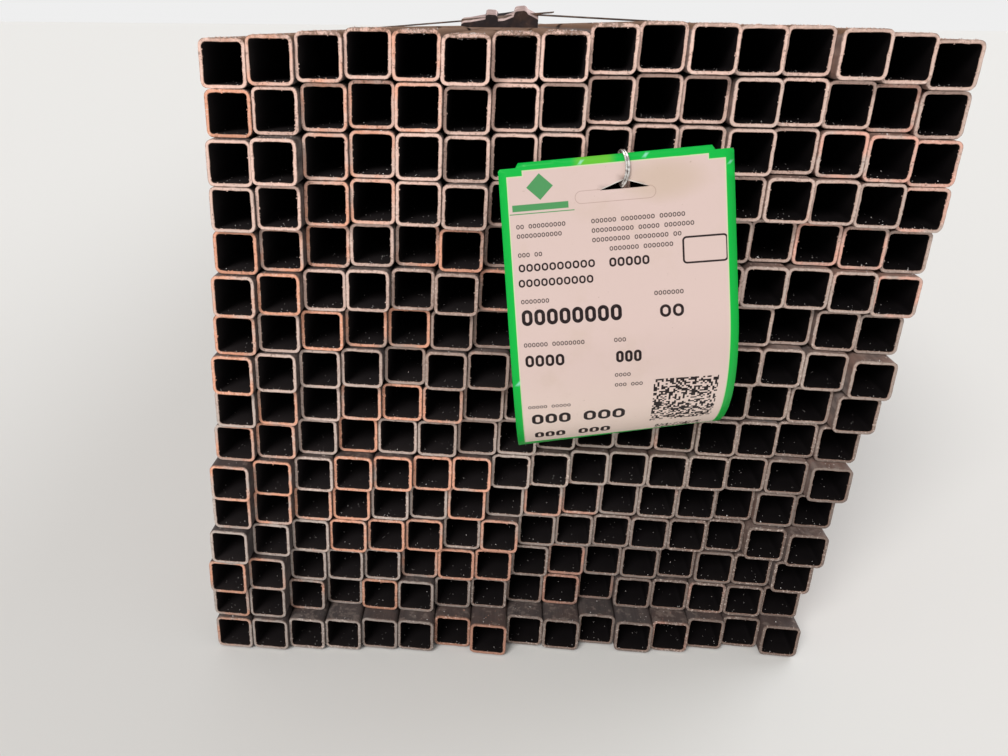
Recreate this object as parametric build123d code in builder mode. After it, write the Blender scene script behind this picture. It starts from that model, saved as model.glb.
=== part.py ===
from build123d import *
from math import cos, degrees, radians, sin, tan
import os

os.makedirs("parts", exist_ok=True)

# A strapped bundle of square steel tubes, sixteen columns by sixteen layers, with its tag.
# All sizes are in millimetres. X runs across the bundle, Y along the tubes and Z up from the floor.
# The near ends, where the tag hangs, are at the -Y side.

# One tube: a welded square section with rounded corners. There are so many tubes that one flat
# facet stands for each rounded corner, and this share of the radius is cut from each side.
TUBE_SIDE = 20.0
TUBE_WALL = 1.5
TUBE_LENGTH = 6000.0
TUBE_CORNER = 3.0
CORNER_FACET = 0.75

# The stack. Neighbouring tubes lie this far apart, which is scale and burrs.
TUBE_GAP = 0.12

# How far the end of each column, and of each layer, stands out from the mean face, from left to
# right and from the floor up. The ends were never squared up, so the face runs back to the right.
COLUMN_STAND = (25, 21, 15, 13, 10, 9, 5, 3, -3, -7, -9, -9, -10, -13, -13, -12)
LAYER_STAND = (0, -8, -8, -6, -6, -2, -5, -3, 2, 0, 4, 1, 6, 6, 4, 7)

# Single tubes that slid in or out of their row: layer, then column and travel.
SLID = {
    0: {0: -6, 1: -3, 6: -2, 7: 4, 9: 5, 11: 4, 12: 2, 14: -4},
    1: {1: 3, 3: -5, 6: -2, 7: -2, 8: -3, 10: -5, 13: 3, 14: 3},
    2: {0: 6, 1: 5, 5: -4, 12: -2, 13: 3, 14: 2, 15: 5},
    3: {0: 5, 5: -2, 6: -3, 8: -2, 14: 5, 15: 7},
    4: {0: 2, 5: -3, 7: -4, 14: 3},
    5: {0: 3, 5: -3, 7: -3, 15: 3},
    6: {3: -2, 12: 3, 13: 4},
    7: {15: 5},
    8: {4: -4, 6: 2, 15: 4},
    9: {2: 3, 13: -3, 15: -3},
    10: {3: 3, 5: 3, 15: -3},
    11: {3: 2, 5: 4, 12: -3, 15: -4},
    12: {0: -2, 4: 3, 5: 3, 12: 2, 13: 2, 15: -5},
    13: {0: -2, 1: 4, 4: 4, 11: 3, 12: -4, 15: -5},
    14: {0: -5, 1: -2, 4: 6, 5: 2, 11: 5, 14: -5, 15: -5},
    15: {0: -8, 1: -4, 4: 4, 5: 5, 6: -3, 10: 6, 12: -3, 13: 6, 15: -5},
}

# The stack leans to the right: each layer's offset from the bottom one.
LAYER_SHIFT = (0, -1, 0.5, 3, 5, 7, 9, 11.5, 13, 15, 17, 18.5, 19.5, 19.5, 19, 18)

# Burrs and bows lift the middle columns. This is each column's lift at its top tube.
COLUMN_RISE = (0, 1.5, 3, 4.5, 4, 2.5, 3.5, 4, 7, 8, 7.5, 7, 7, 6, 4.5, 2)

# Steel straps round the bundle, the outer ones this far from the ends.
STRAP_WIDTH = 32.0
STRAP_THICKNESS = 0.8
STRAP_COUNT = 4
STRAP_FROM_END = 240.0
STRAP_CLEARANCE = 0.15
STRAP_TAIL = 11.0

# Where the strap turns more than this, in degrees, it is bent round; elsewhere it only creases.
STRAP_CREASE = 20.0

# The crimped seal on each strap, on the top of the bundle, over this column. At its right end the
# strap is lifted this far off the tubes.
SEAL_COLUMN = 5.5
SEAL_LENGTH = 51.0
SEAL_SHEET = 1.0
SEAL_CLEARANCE = 0.2
SEAL_LIFT = 8.2
SEAL_FOOT = 0.3
SEAL_TOE = 8.0
CRIMP_HEIGHT = 4.0
CRIMP_BASE = 12.0
CRIMP_FLANK = 66.0
CRIMP_SPACING = 19.5
CRIMP_DEPTH = 5.0
CRIMP_OFFSET = 3.5

# The tag: a die-cut card, flat above and curled back to the tubes below. It hangs a little turned,
# and leans out from the ends by this many degrees. Its top edge is near the middle of one bore.
TAG_WIDTH = 96.0
TAG_LENGTH = 156.0
TAG_THICKNESS = 0.5
TAG_TURN = 7.0
TAG_LEAN = 12.5
TAG_SHOULDER_WIDTH = 8.0
TAG_SHOULDER_DROP = 2.2
TAG_STANDOFF = 6.0
TAG_ASIDE = 0.7
TAG_ABOVE = 0.6

# The card is flat for this length at its middle. It curls round an axis that is turned this many
# degrees from its top edge, so its left side stays flat for longer.
TAG_FLAT = 72.0
TAG_CURL_RADIUS = 62.0
TAG_CURL_SKEW = 4.8

# The torn hole that the wire goes through: a low triangle, this far below the card's top edge.
SLOT_DEPTH = 14.4
SLOT_ASIDE = 4.0
SLOT_WIDTH = 20.5
SLOT_HEIGHT = 3.6

# The wire hooks over the card's top edge, goes through the hole and holds both its ends in the
# bore of one tube, given by its column and layer. There one end lies this far above the other.
WIRE_DIAMETER = 1.3
WIRE_SIDES = 6
WIRE_TUBE = (8, 13)
WIRE_REACH = 20.0
WIRE_CLEARANCE = 0.3
WIRE_BEND = 0.9
WIRE_SPREAD = 2.6

# Values that follow from the sizes above.
columns = len(COLUMN_STAND)
layers = len(LAYER_STAND)
pitch = TUBE_SIDE + TUBE_GAP
tube_floor = STRAP_THICKNESS + STRAP_CLEARANCE
bore = TUBE_SIDE - 2 * TUBE_WALL


def stand(column, layer):
    """How far the near end of one tube stands out."""
    return COLUMN_STAND[column] + LAYER_STAND[layer] + SLID[layer].get(column, 0)


stands = [stand(column, layer) for layer in range(layers) for column in range(columns)]
middle_shift = (max(LAYER_SHIFT) + min(LAYER_SHIFT)) / 2
middle_stand = (max(stands) + min(stands)) / 2


def tube_place(column, layer):
    """The centre of one tube, with the whole bundle centred over the origin."""
    x = (column - (columns - 1) / 2) * pitch + LAYER_SHIFT[layer] - middle_shift
    y = middle_stand - stand(column, layer)
    rise = COLUMN_RISE[column] * layer / (layers - 1)
    z = tube_floor + TUBE_SIDE / 2 + layer * pitch + rise
    return Vector(x, y, z)


def near_end(column, layer):
    """The Y of one tube's near end."""
    return tube_place(column, layer).Y - TUBE_LENGTH / 2


def hull(points):
    """The convex outline of points in a plane, anticlockwise."""
    chains = []
    for ordered in (sorted(points), sorted(points, reverse=True)):
        chain = []
        for p in ordered:
            while len(chain) > 1:
                (ax, az), (bx, bz) = chain[-2:]
                if (bx - ax) * (p[1] - az) - (bz - az) * (p[0] - ax) > 0:
                    break
                chain.pop()
            chain.append(p)
        chains.append(chain[:-1])
    return chains[0] + chains[1]


# One tube, centred on the origin, and the sixteen layers of them.
with BuildPart() as tube:
    with BuildSketch(Plane.XZ):
        Rectangle(TUBE_SIDE, TUBE_SIDE)
        chamfer(vertices(), CORNER_FACET * TUBE_CORNER)
        Rectangle(bore, bore, mode=Mode.SUBTRACT)
    extrude(amount=TUBE_LENGTH / 2, both=True)

for layer in range(layers):
    places = [tube_place(column, layer) for column in range(columns)]
    with BuildPart() as tube_layer:
        with Locations(*places):
            add(tube.part)
    tube_layer.part.label = f"tube_layer_{layer + 1:02d}"
    export_step(tube_layer.part, f"parts/{tube_layer.part.label}.step")

# The strap runs taut round the corners of the outer tubes and over the lifted end of its seal.
corner_reach = TUBE_SIDE / 2 - TUBE_CORNER
corner_centres = [
    (place.X + side * corner_reach, place.Z + end * corner_reach)
    for place in (tube_place(c, r) for r in range(layers) for c in range(columns))
    for side in (-1, 1)
    for end in (-1, 1)
]
top_layer = layers - 1
seal_x = tube_place(0, top_layer).X + SEAL_COLUMN * pitch
seal_half = SEAL_LENGTH / 2
under_seal = [
    tube_place(c, top_layer)
    for c in range(columns)
    if abs(tube_place(c, top_layer).X - seal_x) < seal_half + TUBE_SIDE / 2
]
seal_base = max(place.Z for place in under_seal) + TUBE_SIDE / 2
strap_bend = TUBE_CORNER + STRAP_CLEARANCE
seal_peak = Vector(seal_x + seal_half, 0, seal_base + SEAL_LIFT - strap_bend)
strap_corners = hull(corner_centres + [(seal_peak.X, seal_peak.Z)])

# Through the seal the strap slopes up from the last corner that it rests on, which the hull lists
# next. This plane follows its upper face there: its X runs up the slope, its Y is square to the
# strap and its Z points out of the near end.
peak_number = strap_corners.index((seal_peak.X, seal_peak.Z))
rest_x, rest_z = strap_corners[(peak_number + 1) % len(strap_corners)]
slope = (seal_peak - Vector(rest_x, 0, rest_z)).normalized()
upright = Vector(-slope.Z, 0, slope.X)
seal_plane = Plane(
    origin=seal_peak - slope * seal_half + upright * (strap_bend + STRAP_THICKNESS),
    x_dir=slope,
    z_dir=(0, -1, 0),
)
strap_half = STRAP_WIDTH / 2

bent_corners = []
for number, corner in enumerate(strap_corners):
    before = Vector(*corner) - Vector(*strap_corners[number - 1])
    after = Vector(*strap_corners[(number + 1) % len(strap_corners)]) - Vector(*corner)
    if before.get_angle(after) > STRAP_CREASE:
        bent_corners.append(corner)

with BuildPart() as strap_loop:
    for reach, change in ((strap_bend + STRAP_THICKNESS, Mode.ADD), (strap_bend, Mode.SUBTRACT)):
        with BuildSketch(Plane.XZ):
            with BuildLine():
                Polyline(*strap_corners, close=True)
            core = make_face(mode=Mode.PRIVATE)
            offset(core, amount=reach, kind=Kind.INTERSECTION)
            fillet([vertices().sort_by_distance(corner)[0] for corner in bent_corners], reach)
        extrude(amount=strap_half, both=True, mode=change)
    with BuildSketch(seal_plane):
        with Locations((STRAP_TAIL / 2, STRAP_THICKNESS / 2)):
            Rectangle(SEAL_LENGTH + STRAP_TAIL, STRAP_THICKNESS)
    extrude(amount=strap_half, both=True)

# The seal is a sheet sleeve round the two strap ends. Its edges hang to the tubes as skirts,
# and two pairs of crimps stand up from them.
sleeve_inside = 2 * STRAP_THICKNESS + 2 * SEAL_CLEARANCE
sleeve_half = strap_half + SEAL_CLEARANCE
sleeve_top = STRAP_THICKNESS + SEAL_CLEARANCE + SEAL_SHEET
skirt_half = sleeve_half + SEAL_SHEET
skirt_drop = SEAL_LIFT + sleeve_top
crimp_places = [CRIMP_OFFSET + side * CRIMP_SPACING / 2 for side in (-1, 1)]

toe_floor = SEAL_LENGTH * slope.Z - SEAL_LIFT - STRAP_THICKNESS
toe_top = -sleeve_inside / 2 - SEAL_SHEET

with BuildPart() as seal_body:
    with BuildSketch(seal_plane):
        with Locations((0, sleeve_top)):
            Rectangle(SEAL_LENGTH, skirt_drop + sleeve_top, align=(Align.CENTER, Align.MAX))
    extrude(amount=skirt_half, both=True)
    with BuildSketch(seal_plane):
        Rectangle(SEAL_LENGTH, sleeve_inside)
        with Locations((0, toe_top)):
            Rectangle(SEAL_LENGTH, skirt_drop, align=(Align.CENTER, Align.MAX))
    extrude(amount=sleeve_half, both=True, mode=Mode.SUBTRACT)
    for side in (-1, 1):
        with BuildSketch(seal_plane.offset(side * (skirt_half - CRIMP_DEPTH / 2))):
            for place in crimp_places:
                with Locations((place, sleeve_top + CRIMP_HEIGHT / 2)):
                    Trapezoid(CRIMP_BASE, CRIMP_HEIGHT, CRIMP_FLANK)
        extrude(amount=CRIMP_DEPTH / 2, both=True)
    with BuildSketch(seal_plane):
        with BuildLine():
            Polyline(
                (-seal_half, toe_top),
                (-seal_half, toe_floor - skirt_drop),
                (-seal_half + SEAL_TOE, toe_floor - skirt_drop),
                (-seal_half + SEAL_TOE, toe_floor),
                close=True,
            )
        make_face()
    extrude(amount=skirt_half, both=True, mode=Mode.SUBTRACT)
    split(bisect_by=Plane.XY.offset(seal_base + SEAL_FOOT), keep=Keep.TOP)

# The same strap and seal at each place along the bundle.
strap_run = TUBE_LENGTH - 2 * STRAP_FROM_END
for number in range(STRAP_COUNT):
    strap_y = middle_stand + strap_run * (number / (STRAP_COUNT - 1) - 0.5)
    with BuildPart() as strap:
        with Locations((0, strap_y, 0)):
            add(strap_loop.part)
    strap.part.label = f"strap_{number + 1}"
    export_step(strap.part, f"parts/{strap.part.label}.step")
    with BuildPart() as strap_seal:
        with Locations((0, strap_y, 0)):
            add(seal_body.part)
    strap_seal.part.label = f"strap_seal_{number + 1}"
    export_step(strap_seal.part, f"parts/{strap_seal.part.label}.step")

# The card hangs in front of the ends that stand out most beside its top edge. Its plane has X
# along that edge, Y up the card and Z out of its face.
hang_tube = tube_place(*WIRE_TUBE)
tag_x = hang_tube.X + TAG_ASIDE
tag_z = hang_tube.Z + TAG_ABOVE
beside_top = [
    near_end(c, r)
    for r in range(layers)
    for c in range(columns)
    if abs(tube_place(c, r).X - tag_x) < (TAG_WIDTH + TUBE_SIDE) / 2
    and abs(tube_place(c, r).Z - tag_z) < TUBE_SIDE + pitch / 2
]
tag_back = min(beside_top) - TAG_STANDOFF
turn = radians(TAG_TURN)
lean = radians(TAG_LEAN)
skew = radians(TAG_CURL_SKEW)
tag_across = Vector(cos(turn), 0, sin(turn))
tag_out = Vector(-sin(lean) * sin(turn), -cos(lean), sin(lean) * cos(turn))
tag_up = tag_out.cross(tag_across)
tag_top = Vector(tag_x, tag_back, tag_z)
tag_plane = Plane(origin=tag_top, x_dir=tag_across, z_dir=tag_out)

# The card's section, square to the axis of the curl. The axis's middle is at the end of the flat.
curl_axis = tag_across * cos(skew) + tag_up * sin(skew)
curl_plane = Plane(origin=tag_top - tag_up * TAG_FLAT, x_dir=tag_out, z_dir=-curl_axis)
curl_angle = degrees((TAG_LENGTH - TAG_FLAT + TAG_WIDTH * tan(skew)) / TAG_CURL_RADIUS)


def on_card(aside, depth):
    """A point on the card's back, this far along its top edge and this far down the card."""
    flat = TAG_FLAT - aside * tan(skew)
    curled = max(depth - flat, 0) / TAG_CURL_RADIUS
    drop = min(depth, flat) + TAG_CURL_RADIUS * sin(curled)
    back = TAG_CURL_RADIUS * (1 - cos(curled))
    return tag_top + tag_across * aside - tag_up * drop - tag_out * back


# The card's bottom edge is cut by the plane through its two lower corners.
low_edge = on_card(TAG_WIDTH / 2, TAG_LENGTH) - on_card(-TAG_WIDTH / 2, TAG_LENGTH)
low_chord = on_card(0, TAG_LENGTH) - on_card(0, TAG_LENGTH - TAG_THICKNESS)
low_face = low_edge.cross(low_chord)
low_plane = Plane(origin=on_card(0, TAG_LENGTH), x_dir=low_edge, z_dir=low_face.cross(low_edge))

with BuildPart() as tag_card:
    with BuildSketch(curl_plane):
        with BuildLine():
            back = Line((0, TAG_LENGTH), (0, 0))
            curl_middle = (-TAG_CURL_RADIUS, 0)
            curl_back = CenterArc(curl_middle, TAG_CURL_RADIUS, 0, -curl_angle)
            curl_front = CenterArc(curl_middle, TAG_CURL_RADIUS + TAG_THICKNESS, 0, -curl_angle)
            Line(curl_back @ 1, curl_front @ 1)
            front = Line((TAG_THICKNESS, 0), (TAG_THICKNESS, TAG_LENGTH))
            Line(front @ 1, back @ 0)
        make_face()
    extrude(amount=TAG_WIDTH, both=True)
    with BuildSketch(tag_plane):
        Rectangle(TAG_WIDTH, TAG_LENGTH, align=(Align.CENTER, Align.MAX))
        for side in (-1, 1):
            with Locations((side * TAG_WIDTH / 2, 0)):
                Rectangle(2 * TAG_SHOULDER_WIDTH, 2 * TAG_SHOULDER_DROP, mode=Mode.SUBTRACT)
        with BuildLine():
            Polyline(
                (SLOT_ASIDE - SLOT_WIDTH / 2, -SLOT_DEPTH),
                (SLOT_ASIDE + SLOT_WIDTH / 2, -SLOT_DEPTH),
                (SLOT_ASIDE, SLOT_HEIGHT - SLOT_DEPTH),
                close=True,
            )
        make_face(mode=Mode.SUBTRACT)
    extrude(amount=TAG_LENGTH, both=True, mode=Mode.INTERSECT)
    split(bisect_by=low_plane, keep=Keep.BOTTOM)
tag_card.part.label = "tag_card"
export_step(tag_card.part, f"parts/{tag_card.part.label}.step")

# The wire lies in one plane, square to the card's top edge: its X runs into the bundle and its Y
# up. It comes up behind the card, over its top edge, down its front, back through the hole and up
# into the bore, where it lies on the bore's floor.
wire_plane = Plane(origin=tag_top + tag_across * SLOT_ASIDE, x_dir=(0, 1, 0), z_dir=tag_across)
wire_off = WIRE_DIAMETER / 2 + WIRE_CLEARANCE
bore_deep = near_end(*WIRE_TUBE) + WIRE_REACH - tag_back
bore_floor = (hang_tube.Z - bore / 2 + wire_off - wire_plane.origin.Z) / cos(turn)
hole_depth = SLOT_DEPTH - wire_off
over_edge = TAG_THICKNESS * sin(lean) + wire_off
in_front = TAG_THICKNESS + wire_off


def beside_card(depth, out):
    """A point this far down the card and this far out from its back, in the wire's plane."""
    return (-depth * sin(lean) - out * cos(lean), -depth * cos(lean) + out * sin(lean))


with BuildPart() as tag_wire:
    with BuildLine(wire_plane) as wire_path:
        FilletPolyline(
            (bore_deep, bore_floor + WIRE_SPREAD),
            (0, over_edge),
            (-over_edge * tan(lean) - in_front / cos(lean), over_edge),
            beside_card(hole_depth, in_front),
            beside_card(hole_depth, -wire_off),
            (bore_floor * tan(lean) + wire_off / cos(lean), bore_floor),
            (bore_deep, bore_floor),
            radius=WIRE_BEND,
        )
    with BuildSketch(Plane(origin=wire_path.wire() @ 0, z_dir=wire_path.wire() % 0)):
        RegularPolygon(WIRE_DIAMETER / 2, WIRE_SIDES)
    sweep(transition=Transition.ROUND)
tag_wire.part.label = "tag_wire"
export_step(tag_wire.part, f"parts/{tag_wire.part.label}.step")
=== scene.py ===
"""The looks of a strapped bundle of square steel tubes with its tag card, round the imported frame."""
import math
import random

import bmesh
import bpy
from mathutils import Matrix, Vector, noise


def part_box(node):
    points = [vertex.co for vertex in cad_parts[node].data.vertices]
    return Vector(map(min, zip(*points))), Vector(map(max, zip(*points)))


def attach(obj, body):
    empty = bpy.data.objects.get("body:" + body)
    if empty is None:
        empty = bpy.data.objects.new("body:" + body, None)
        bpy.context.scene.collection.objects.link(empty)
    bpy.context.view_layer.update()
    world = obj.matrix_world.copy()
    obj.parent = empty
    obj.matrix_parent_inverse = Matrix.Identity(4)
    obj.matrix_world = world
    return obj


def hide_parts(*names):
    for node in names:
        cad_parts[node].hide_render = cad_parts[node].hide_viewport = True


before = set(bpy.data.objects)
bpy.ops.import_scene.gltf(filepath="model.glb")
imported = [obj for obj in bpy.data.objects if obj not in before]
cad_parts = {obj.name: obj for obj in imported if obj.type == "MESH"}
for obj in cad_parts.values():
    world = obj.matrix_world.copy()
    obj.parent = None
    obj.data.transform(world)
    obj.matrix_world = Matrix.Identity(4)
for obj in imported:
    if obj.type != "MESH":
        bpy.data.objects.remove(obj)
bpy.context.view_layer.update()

MM = 0.001

# Points this near each other count as one.
SAME_PLACE = 0.01 * MM

# The tube's section and its sawn ends, which noise roughens. Each tube reads another place of the
# noise, from these strides by column and layer and a random one.
TUBE_CORNER = 3.0 * MM
TUBE_WALL = 1.5 * MM
CORNER_FACETS = 4
SIDE_CUTS = 5
RIM_CHAMFER = 0.18 * MM
RIM_DEPTH = 0.9 * MM
OUTER_RAGGED = 0.10 * MM
INNER_RAGGED = 0.24 * MM
SAW_RAGGED = 0.20 * MM
RAGGED_SCALE = 420.0
NOISE_STRIDE = (7.3, 5.1)
NOISE_ROOM = 50
NOISE_SEED = 1
FIRST_SEED = 100
TUBE_SMOOTH = 40

# A layer's finishes, in the order of its slots.
STEEL, SHADED_BORE, BRIGHT = range(3)

# Burrs stand on the rims, this many at each end, and more often on some edges of the bore than on
# others: right, left, lower, upper.
BURRS = 11
BURR_SIZE = (0.18 * MM, 0.45 * MM)
BURR_EDGES = (4, 4, 6, 1)
BURR_STAND = 0.05 * MM
BURR_SET_BACK = 0.2 * MM

# Chips lie on the floors of the bores, this many at each end, and gather at the mouth.
CHIPS = 9
CHIP_SIZE = (0.10 * MM, 0.36 * MM)
CHIP_REACH = 34.0 * MM
CHIP_SET_BACK = 0.6 * MM
CHIP_MARGIN = 1.0 * MM
CHIP_LIFT = 0.1 * MM
CHIP_GATHER = 2

# Crumbs of rust and swarf lie on top of the tubes, where the row above stands back by more than the
# least, and on the ends of the top row.
CRUMB_SIZE = (0.12 * MM, 0.46 * MM)
CRUMB_ROOM = 0.75 * MM
LEAST_BARE = 1.0 * MM
CRUMB_SET_BACK = 0.3 * MM
CRUMB_GATHER = 1.6
TOP_CRUMBS = 110
TOP_REACH = 30.0 * MM

# These tubes, by layer and column, have a clot of so many grains of dust on the upper edge of the
# bore. Across it, up and out, a clot reaches from the first place to the second and is thickest at
# the third. Across is in shares of most of the bore's half width, up and out are in millimetres.
CLOTTED = {(15, 5): 60, (15, 6): 150, (15, 7): 60, (15, 4): 25, (15, 8): 25, (14, 6): 14}
CLOT_SIZE = (0.10 * MM, 0.27 * MM)
CLOT_ACROSS = (-1, 1, 0.4)
CLOT_SHARE = 0.9
CLOT_UP = (-0.7, 1.3, 0.2)
CLOT_OUT = (-0.2, 0.1)

# How deep a grain is, in shares of its size, and the finishes that clots and crumbs draw from.
GRAIN_DEPTH = (0.8, 2.2)
CLOT_FINISHES = (STEEL, STEEL, STEEL, STEEL, STEEL, BRIGHT)
CRUMB_FINISHES = (STEEL, STEEL, BRIGHT)

# The top row is dusty down to this far below its top.
DUST_DEPTH = TUBE_WALL * 1.3

# How orange the rims are, by layer and then column: partly rust, partly painted warm light. The
# rest only have a trace of rust.
RUST_AND_WARM_LIGHT = {
    15: {0: 0.35, 1: 0.55, 2: 0.5, 3: 0.3, 4: 0.55},
    14: {0: 1.0, 2: 0.5, 3: 0.45, 4: 0.6, 14: 0.6},
    13: {2: 0.55, 3: 0.5, 13: 0.6, 14: 0.6, 15: 0.6},
    12: {2: 0.65, 3: 0.6, 15: 0.6},
    11: {0: 1.0, 1: 0.6, 2: 0.6, 4: 0.6, 5: 0.75, 13: 0.6, 14: 0.6},
    10: {0: 0.55, 1: 1.0, 6: 0.6, 15: 0.6},
    9: {0: 0.7, 2: 1.0, 3: 0.6, 4: 0.7},
    8: {0: 0.7},
    7: {1: 0.7, 3: 0.7, 4: 1.0, 5: 0.7},
    6: {0: 0.55, 1: 0.6, 3: 1.0},
    5: {0: 0.55, 1: 0.75, 3: 0.9, 4: 0.85, 5: 0.8, 6: 0.8},
    4: {0: 0.55, 1: 0.6, 2: 0.7, 3: 0.85, 6: 0.8, 8: 0.6, 9: 0.6},
    3: {3: 0.85, 4: 0.8, 5: 0.8, 7: 0.8},
    2: {0: 0.7, 1: 0.55, 5: 0.6, 6: 0.9, 7: 0.9, 9: 0.6},
    1: {0: 0.45, 2: 0.5, 4: 0.85, 9: 0.8, 10: 0.6, 13: 0.45},
    0: {0: 0.45, 6: 1.0, 7: 1.0, 12: 0.45},
}
TRACE_OF_RUST = 0.24

# The tag card, as it is in the frame. Its cuts start over its top edge and end past its sides.
CARD_WIDTH = 96.0 * MM
CARD_LENGTH = 156.0 * MM
CARD_THICKNESS = 0.5 * MM
CARD_FLAT = 72.0 * MM
CARD_TURN = math.radians(7.0)
CARD_LEAN = math.radians(12.5)
CURL_RADIUS = 62.0 * MM
CURL_SKEW = math.radians(4.8)
SHOULDER_TOP = 8.6 * MM
SHOULDER_FOOT = 7.2 * MM
SHOULDER_DROP = 2.2 * MM
CORNER_CUT = 0.8 * MM
HOLE_DEPTH = 14.4 * MM
HOLE_ASIDE = 4.0 * MM
HOLE_WIDTH = 20.5 * MM
HOLE_HEIGHT = 3.6 * MM
CARD_GRID = (24, 40)
CARD_SMOOTH = 30
CUT_OVER = 0.1 * MM
CUT_PAST = 1.1

# The tie wire: two strands twisted together. This is its way over the card's top edge, down the
# front and back through the hole, in millimetres across, up and out from the middle of that edge.
STRAND_RADIUS = 0.52 * MM
STRAND_SIDES = 4
TWIST_PITCH = 60.0 * MM
TWIST_AHEAD = math.radians(74)
WIRE_ROUNDINGS = 3
WIRE_SMOOTH = 60
WIRE_ON_CARD = (
    (3.0, -2.5, -2.7),
    (2.9, -0.3, -2.0),
    (3.2, 1.2, -1.1),
    (4.0, 1.3, 0.5),
    (5.0, -0.8, 1.5),
    (5.5, -3.5, 1.6),
    (5.5, -7.0, 1.6),
    (4.8, -10.2, 1.3),
    (3.5, -12.7, 0.3),
    (2.9, -13.4, -0.9),
    (2.9, -11.5, -2.6),
)
BORE_DROP = 8.7 * MM
WIRE_SPREAD = 2.6 * MM

# Each strap has a seal.
STRAPS = 4

# The strap seal's outline from the near end, in shares of its width and height, clockwise from the
# foot of its rolled end: across, up at the crimped edges, up between them.
SEAL_OUTLINE = (
    (0.0, 0.12, 0.12),
    (0.0, 0.36, 0.36),
    (0.03, 0.44, 0.44),
    (0.12, 0.47, 0.47),
    (0.315, 0.60, 0.60),
    (0.325, 0.78, 0.61),
    (0.35, 0.82, 0.62),
    (0.445, 0.80, 0.64),
    (0.465, 0.74, 0.64),
    (0.48, 0.52, 0.64),
    (0.56, 0.55, 0.67),
    (0.68, 0.72, 0.74),
    (0.695, 0.92, 0.75),
    (0.72, 0.97, 0.77),
    (0.81, 1.0, 0.80),
    (0.845, 0.95, 0.80),
    (0.865, 0.84, 0.79),
    (0.95, 0.70, 0.70),
    (1.0, 0.60, 0.60),
    (1.0, 0.0, 0.0),
    (0.22, 0.0, 0.0),
    (0.09, 0.0, 0.0),
)

# Its sections from its near edge to its middle, in shares of its depth: how far back, how much of
# the crimps they have, and how much lower they are where the edge is rounded.
SEAL_SECTIONS = (
    (0.0, 1.0, 0.24),
    (0.05, 1.0, 0.11),
    (0.10, 1.0, 0.03),
    (0.13, 1.0, 0.0),
    (0.16, 1.0, 0.0),
    (0.20, 0.0, 0.0),
)
MOST_ROUNDED = 0.62
# Faces that look up more steeply than this get the painted sheen.
SHEEN_SLOPE = 0.25
SEAL_SMOOTH = 40


class Signal:
    """A socket's value in a sum. Each operator adds its Math node."""

    def __init__(self, look, socket):
        self.look = look
        self.socket = socket

    def __add__(self, other):
        return self.look.sum("ADD", self, other)

    def __radd__(self, other):
        return self.look.sum("ADD", other, self)

    def __sub__(self, other):
        return self.look.sum("SUBTRACT", self, other)

    def __rsub__(self, other):
        return self.look.sum("SUBTRACT", other, self)

    def __mul__(self, other):
        return self.look.sum("MULTIPLY", self, other)

    def __rmul__(self, other):
        return self.look.sum("MULTIPLY", other, self)

    def __truediv__(self, other):
        return self.look.sum("DIVIDE", self, other)

    def __rtruediv__(self, other):
        return self.look.sum("DIVIDE", other, self)

    def __abs__(self):
        return self.look.sum("ABSOLUTE", self)

    def __gt__(self, other):
        return self.look.sum("GREATER_THAN", self, other)

    def largest(self, other):
        return self.look.sum("MAXIMUM", self, other)

    def smallest(self, other):
        return self.look.sum("MINIMUM", self, other)

    def floor(self):
        return self.look.sum("FLOOR", self)

    def fraction(self):
        return self.look.sum("FRACT", self)

    def root(self):
        return self.look.sum("SQRT", self)


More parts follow.
